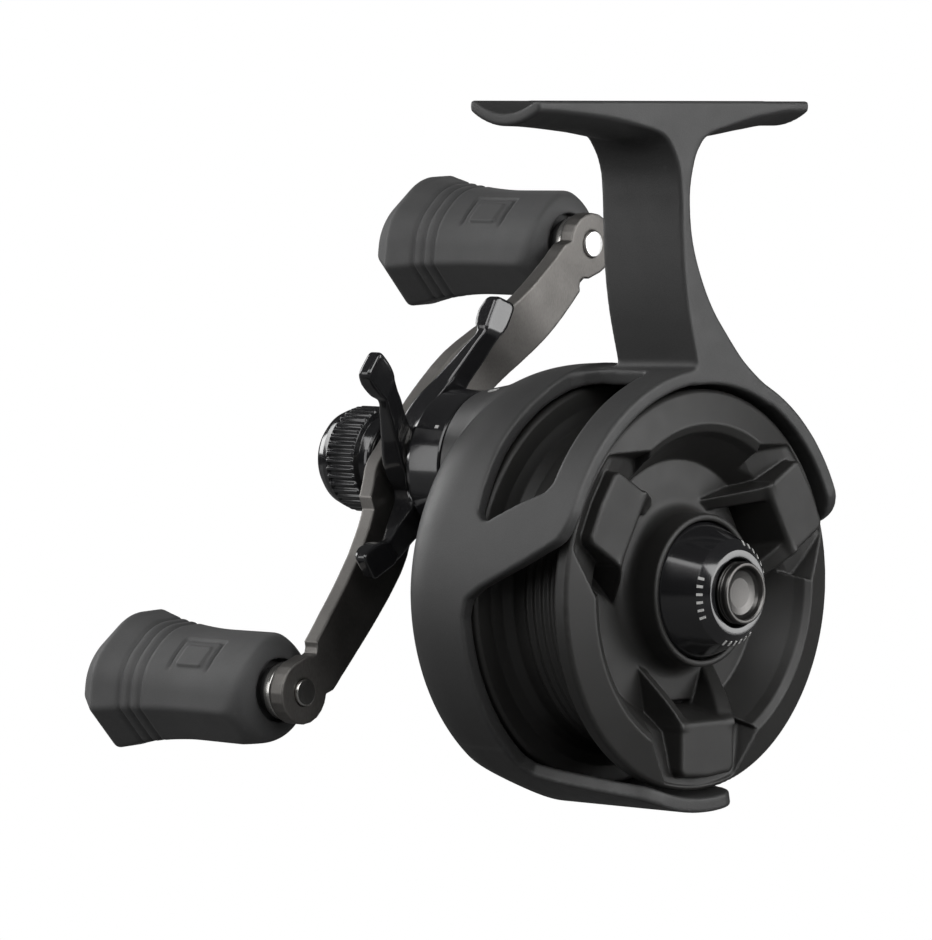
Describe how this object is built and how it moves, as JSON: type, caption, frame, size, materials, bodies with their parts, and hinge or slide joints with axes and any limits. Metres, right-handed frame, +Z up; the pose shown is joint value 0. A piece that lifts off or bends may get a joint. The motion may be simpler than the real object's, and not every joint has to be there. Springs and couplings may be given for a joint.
{
  "type": "inline ice fishing reel",
  "caption": "Inline fishing reel with an open-faced spool in a cut-away housing, a foot on a stem, a star drag and a double handle with turned grips.",
  "frame": {"origin": "on the spool axis, in the plane of the spool's front rim", "axes": "+Z up to the reel foot, -Y out of the spool's open face, +Y towards the handle, X along the rod with its tip towards -X"},
  "size_m": [0.0856, 0.0965, 0.1059],
  "materials": {
    "housing_black": "matte",
    "spool_grey": "satin",
    "gloss_black": "gloss",
    "gunmetal": "satin",
    "bright_steel": "polished",
    "brass": "satin",
    "grip_rubber": "matte",
    "carbon": "matte",
    "nylon": "matte"
  },
  "bodies": {
    "housing": {"main_housing": "housing_black", "gear_plate": "nylon", "plate_screw_1": "bright_steel", "plate_screw_2": "bright_steel", "plate_screw_3": "bright_steel", "plate_screw_4": "bright_steel", "spool_bearing_front": "bright_steel", "spool_bearing_rear": "bright_steel", "shaft_bearing_inner": "bright_steel", "boss_bearing": "bright_steel", "one_way_clutch": "bright_steel"},
    "handle": {"handle_shaft": "bright_steel", "drive_gear": "brass", "drag_washer_carbon": "carbon", "drag_pressure_plate": "bright_steel", "clutch_sleeve": "bright_steel", "drag_spring_washer_1": "bright_steel", "drag_spring_washer_2": "bright_steel", "crank_arm": "gunmetal", "handle_washer": "bright_steel", "handle_nut": "gloss_black", "knob_rivet_upper": "bright_steel", "knob_rivet_lower": "bright_steel", "knob_washer_upper": "bright_steel", "knob_washer_lower": "bright_steel", "knob_bush_upper": "nylon", "knob_bush_lower": "nylon"},
    "spool_assembly": {"spool": "spool_grey", "spool_shaft": "bright_steel", "pinion_gear": "bright_steel", "release_knob": "gloss_black"},
    "release_button": {"release_button": "gunmetal", "release_spring": "bright_steel"},
    "star_drag": {"star_drag_wheel": "gloss_black"},
    "anti_reverse": {"anti_reverse_ring": "gloss_black"},
    "upper_knob": {"knob_grip_upper": "grip_rubber"},
    "lower_knob": {"knob_grip_lower": "grip_rubber"}
  },
  "joints": [
    {"name": "handle_turn", "type": "hinge", "parent": "housing", "child": "handle", "pos_m": [-0.0035, 0.0225, 0.01725], "axis": [0, 1, 0], "continuous": true},
    {"name": "spool_turn", "type": "hinge", "parent": "housing", "child": "spool_assembly", "pos_m": [0, 0.01, 0], "axis": [0, 1, 0], "continuous": true},
    {"name": "release_button_press", "type": "slide", "parent": "spool_assembly", "child": "release_button", "axis": [0, 1, 0], "range_m": [0, 0.0015], "stiffness_N_per_m": 400, "springref_m": -0.002, "deforming": ["release_spring"]},
    {"name": "star_drag_turn", "type": "hinge", "parent": "handle", "child": "star_drag", "pos_m": [-0.0035, 0.0515, 0.01725], "axis": [0, 1, 0], "range_deg": [-360, 360]},
    {"name": "anti_reverse_switch", "type": "hinge", "parent": "housing", "child": "anti_reverse", "pos_m": [-0.0035, 0.0428, 0.01725], "axis": [0, 1, 0], "range_deg": [0, 30]},
    {"name": "upper_knob_spin", "type": "hinge", "parent": "handle", "child": "upper_knob", "pos_m": [0.02928, 0.0527, 0.05037], "axis": [0, 1, 0], "continuous": true},
    {"name": "lower_knob_spin", "type": "hinge", "parent": "handle", "child": "lower_knob", "pos_m": [-0.03628, 0.0527, -0.01587], "axis": [0, 1, 0], "continuous": true}
  ],
  "couplings": [
    {"joint": "spool_turn", "follows": "handle_turn", "ratio": -2.6667}
  ]
}
